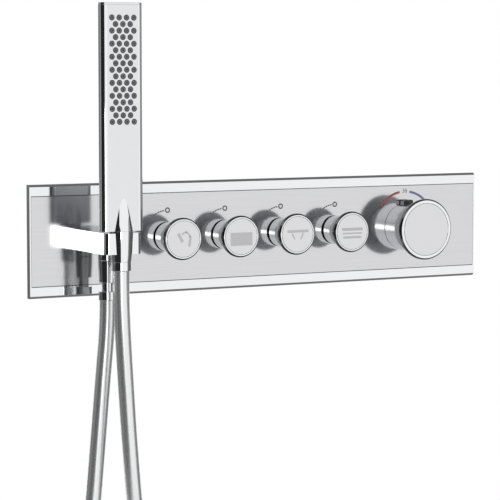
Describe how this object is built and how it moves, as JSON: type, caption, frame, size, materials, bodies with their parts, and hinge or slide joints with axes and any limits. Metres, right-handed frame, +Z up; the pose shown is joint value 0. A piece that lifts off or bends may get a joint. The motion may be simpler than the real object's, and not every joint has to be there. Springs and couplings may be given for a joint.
{
  "type": "thermostatic shower mixer",
  "caption": "Built-in thermostatic shower mixer: long wall plate with push-and-turn outlet knobs, a temperature knob with safety stop, and a holder arm with stick hand shower and hose.",
  "frame": {"origin": "middle of the four wall fixing holes, on the finished wall's face", "axes": "+X to the right as seen from the room, +Y into the wall, +Z up"},
  "size_m": [0.4922, 0.134, 0.7762],
  "materials": {
    "polished_chrome": "polished chrome plate",
    "brushed_chrome": "brushed, lines along the plate",
    "satin_chrome": "satin chrome plate",
    "black_abs": "moulded, glossy",
    "cast_brass": "cast and shot-blasted",
    "turned_brass": "turned",
    "zinc_plated_steel": "zinc plated",
    "spring_steel": "drawn wire",
    "black_foam": "closed-cell foam",
    "black_rubber": "moulded",
    "grey_silicone": "moulded silicone",
    "white_acetal": "moulded",
    "silver_hose": "smooth, silver"
  },
  "bodies": {
    "mixer": {"cover_plate": "polished_chrome", "holder_arm": "polished_chrome", "outlet_nipple": "polished_chrome", "outlet_ferrule": "polished_chrome", "knob_collar_1": "polished_chrome", "knob_collar_2": "polished_chrome", "knob_collar_3": "polished_chrome", "knob_collar_4": "polished_chrome", "centre_panel": "brushed_chrome", "valve_body": "cast_brass", "hot_inlet_union": "turned_brass", "cold_inlet_union": "turned_brass", "gallery_plug": "turned_brass", "cartridge_nuts": "turned_brass", "feed_pipe": "turned_brass", "thermostat_cartridge": "turned_brass", "outlet_cartridge_1": "turned_brass", "outlet_cartridge_2": "turned_brass", "outlet_cartridge_3": "turned_brass", "outlet_cartridge_4": "turned_brass", "wall_carrier": "zinc_plated_steel", "carrier_screws": "zinc_plated_steel", "arm_locking_screw": "zinc_plated_steel", "return_spring_1": "spring_steel", "return_spring_2": "spring_steel", "return_spring_3": "spring_steel", "return_spring_4": "spring_steel", "plate_gasket": "black_foam", "stop_ring": "white_acetal", "hot_check_valve": "white_acetal", "cold_check_valve": "white_acetal", "plate_clips": "white_acetal", "hose": "silver_hose"},
    "flow_1": {"flow_spindle_1": "turned_brass"},
    "knob_1": {"knob_1": "polished_chrome", "knob_inset_1": "brushed_chrome"},
    "flow_2": {"flow_spindle_2": "turned_brass"},
    "knob_2": {"knob_2": "polished_chrome", "knob_inset_2": "brushed_chrome"},
    "flow_3": {"flow_spindle_3": "turned_brass"},
    "knob_3": {"knob_3": "polished_chrome", "knob_inset_3": "brushed_chrome"},
    "flow_4": {"flow_spindle_4": "turned_brass"},
    "knob_4": {"knob_4": "polished_chrome", "knob_inset_4": "brushed_chrome"},
    "temperature": {"thermostat_spindle": "turned_brass", "temperature_skirt": "polished_chrome", "temperature_knob": "polished_chrome", "temperature_inset": "brushed_chrome", "stop_button_spring": "spring_steel"},
    "stop_button": {"stop_button": "black_abs"},
    "hand_shower": {"hand_shower_shell": "satin_chrome", "hand_shower_end_cap": "satin_chrome", "nozzle_mat": "grey_silicone", "hand_shower_waterway": "white_acetal", "hose_cone_nut": "polished_chrome", "hose_washer": "black_rubber", "hose_ferrule": "polished_chrome"}
  },
  "joints": [
    {"name": "flow_turn_1", "type": "hinge", "parent": "mixer", "child": "flow_1", "pos_m": [-0.0995, 0, 0], "axis": [0, -1, 0], "range_deg": [0, 90]},
    {"name": "knob_push_1", "type": "slide", "parent": "flow_1", "child": "knob_1", "axis": [0, 1, 0], "range_m": [0, 0.003], "stiffness_N_per_m": 800, "deforming": ["return_spring_1"]},
    {"name": "flow_turn_2", "type": "hinge", "parent": "mixer", "child": "flow_2", "pos_m": [-0.04115, 0, 0], "axis": [0, -1, 0], "range_deg": [0, 90]},
    {"name": "knob_push_2", "type": "slide", "parent": "flow_2", "child": "knob_2", "axis": [0, 1, 0], "range_m": [0, 0.003], "stiffness_N_per_m": 800, "deforming": ["return_spring_2"]},
    {"name": "flow_turn_3", "type": "hinge", "parent": "mixer", "child": "flow_3", "pos_m": [0.0172, 0, 0], "axis": [0, -1, 0], "range_deg": [0, 90]},
    {"name": "knob_push_3", "type": "slide", "parent": "flow_3", "child": "knob_3", "axis": [0, 1, 0], "range_m": [0, 0.003], "stiffness_N_per_m": 800, "deforming": ["return_spring_3"]},
    {"name": "flow_turn_4", "type": "hinge", "parent": "mixer", "child": "flow_4", "pos_m": [0.07555, 0, 0], "axis": [0, -1, 0], "range_deg": [0, 90]},
    {"name": "knob_push_4", "type": "slide", "parent": "flow_4", "child": "knob_4", "axis": [0, 1, 0], "range_m": [0, 0.003], "stiffness_N_per_m": 800, "deforming": ["return_spring_4"]},
    {"name": "temperature_turn", "type": "hinge", "parent": "mixer", "child": "temperature", "pos_m": [0.1531, 0, 0], "axis": [0, -1, 0], "range_deg": [-50, 50]},
    {"name": "stop_button_push", "type": "slide", "parent": "temperature", "child": "stop_button", "axis": [0, 0, -1], "range_m": [0, 0.0025], "stiffness_N_per_m": 600, "deforming": ["stop_button_spring"]},
    {"name": "hand_shower_lift", "type": "slide", "parent": "mixer", "child": "hand_shower", "axis": [0, 0, 1], "range_m": [0, 0.06], "deforming": ["hose"]}
  ]
}
